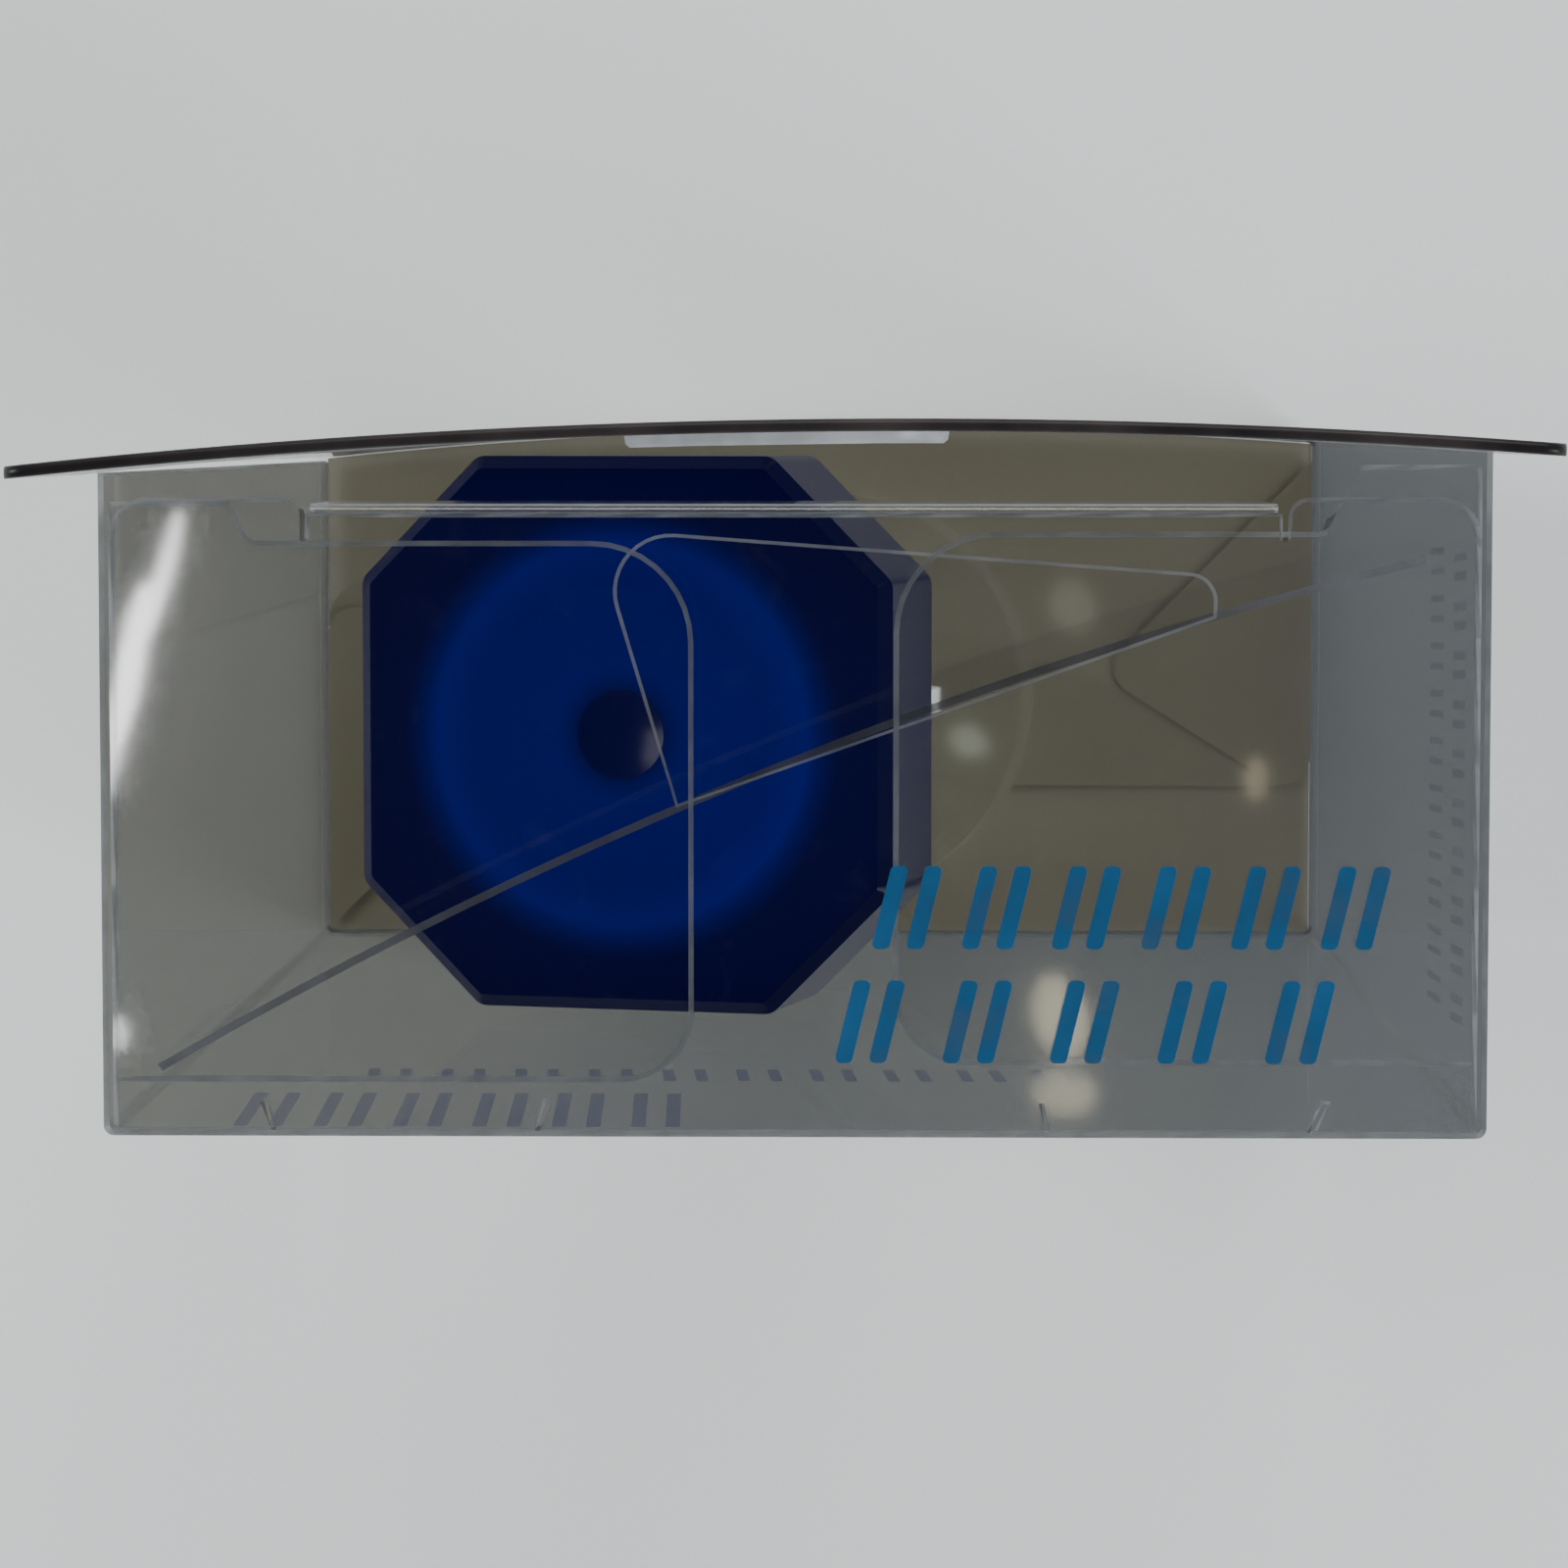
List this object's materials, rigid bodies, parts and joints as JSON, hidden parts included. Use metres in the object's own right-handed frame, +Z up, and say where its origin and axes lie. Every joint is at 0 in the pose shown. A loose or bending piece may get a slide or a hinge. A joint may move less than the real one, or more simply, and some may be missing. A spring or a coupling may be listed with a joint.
{
  "type": "packed hard contact lens case",
  "caption": "Upright screw-cap lens case with a blue eight-sided cap and an inner lens holder, leaning in a clear hanging box with a tuck lid, dust flaps and a bent spacer.",
  "frame": {"origin": "centre of the carton's footprint, on its underside", "axes": "+X to the right, +Y to the back wall and its hanging header, +Z up; the lid hinges at the front edge, -Y"},
  "size_m": [0.075, 0.0388, 0.14],
  "materials": {
    "clear_sheet": "clear, smooth",
    "spacer_film": "clear, smooth",
    "clear_vial": "clear, smooth",
    "blue_cap": "deep cobalt blue, slightly translucent",
    "seal": "smooth",
    "white_holder": "smooth",
    "blue_basket": "smooth"
  },
  "bodies": {
    "carton": {"front_panel": "clear_sheet", "left_panel": "clear_sheet", "right_panel": "clear_sheet", "back_panel": "clear_sheet", "header_liner": "clear_sheet", "glue_tab": "clear_sheet", "base_front_panel": "clear_sheet", "base_back_panel": "clear_sheet", "base_left_flap": "clear_sheet", "base_right_flap": "clear_sheet", "spacer_wall": "spacer_film", "spacer_tab": "spacer_film"},
    "lid": {"lid_panel": "clear_sheet"},
    "tuck_flap": {"lid_tuck_flap": "clear_sheet"},
    "left_dust_flap": {"dust_flap_left": "clear_sheet"},
    "right_dust_flap": {"dust_flap_right": "clear_sheet"},
    "vial": {"vial": "clear_vial"},
    "holder": {"lens_holder": "white_holder"},
    "cap": {"screw_cap": "blue_cap", "cap_gasket": "seal"},
    "left_basket": {"basket_door_left": "white_holder"},
    "right_basket": {"basket_door_right": "blue_basket"}
  },
  "joints": [
    {"name": "lid_hinge", "type": "hinge", "parent": "carton", "child": "lid", "pos_m": [0, -0.0194, 0.11035], "axis": [1, 0, 0], "range_deg": [0, 150]},
    {"name": "tuck_fold", "type": "hinge", "parent": "lid", "child": "tuck_flap", "pos_m": [0, 0.0149, 0.11035], "axis": [1, 0, 0], "range_deg": [0, 22.5]},
    {"name": "left_dust_fold", "type": "hinge", "parent": "carton", "child": "left_dust_flap", "pos_m": [-0.037, 0, 0.1096], "axis": [0, -1, 0], "range_deg": [0, 15]},
    {"name": "right_dust_fold", "type": "hinge", "parent": "carton", "child": "right_dust_flap", "pos_m": [0.037, 0, 0.1096], "axis": [0, 1, 0], "range_deg": [0, 15]},
    {"name": "vial_turn", "type": "hinge", "parent": "carton", "child": "vial", "pos_m": [-0.00329, -0.0007, 0.02412], "axis": [0.2504, 0, -0.9681], "range_deg": [0, 450]},
    {"name": "cap_lift", "type": "slide", "parent": "carton", "child": "cap", "axis": [-0.2504, 0, 0.9681], "range_m": [0, 0.00375]},
    {"name": "holder_swivel", "type": "hinge", "parent": "cap", "child": "holder", "pos_m": [-0.01105, -0.0007, 0.05413], "axis": [-0.2504, 0, 0.9681], "continuous": true},
    {"name": "left_basket_hinge", "type": "hinge", "parent": "holder", "child": "left_basket", "pos_m": [-0.00229, -0.0033, 0.02025], "axis": [0.9681, 0, 0.2504], "range_deg": [0, 25]},
    {"name": "right_basket_hinge", "type": "hinge", "parent": "holder", "child": "right_basket", "pos_m": [-0.00229, 0.0019, 0.02025], "axis": [-0.9681, 0, -0.2504], "range_deg": [0, 25]}
  ],
  "couplings": [
    {"joint": "tuck_fold", "follows": "lid_hinge", "ratio": 0.15},
    {"joint": "left_dust_fold", "follows": "lid_hinge", "ratio": 0.1},
    {"joint": "right_dust_fold", "follows": "lid_hinge", "ratio": 0.1},
    {"joint": "cap_lift", "follows": "vial_turn", "m_per_rad": 0.00047746}
  ]
}
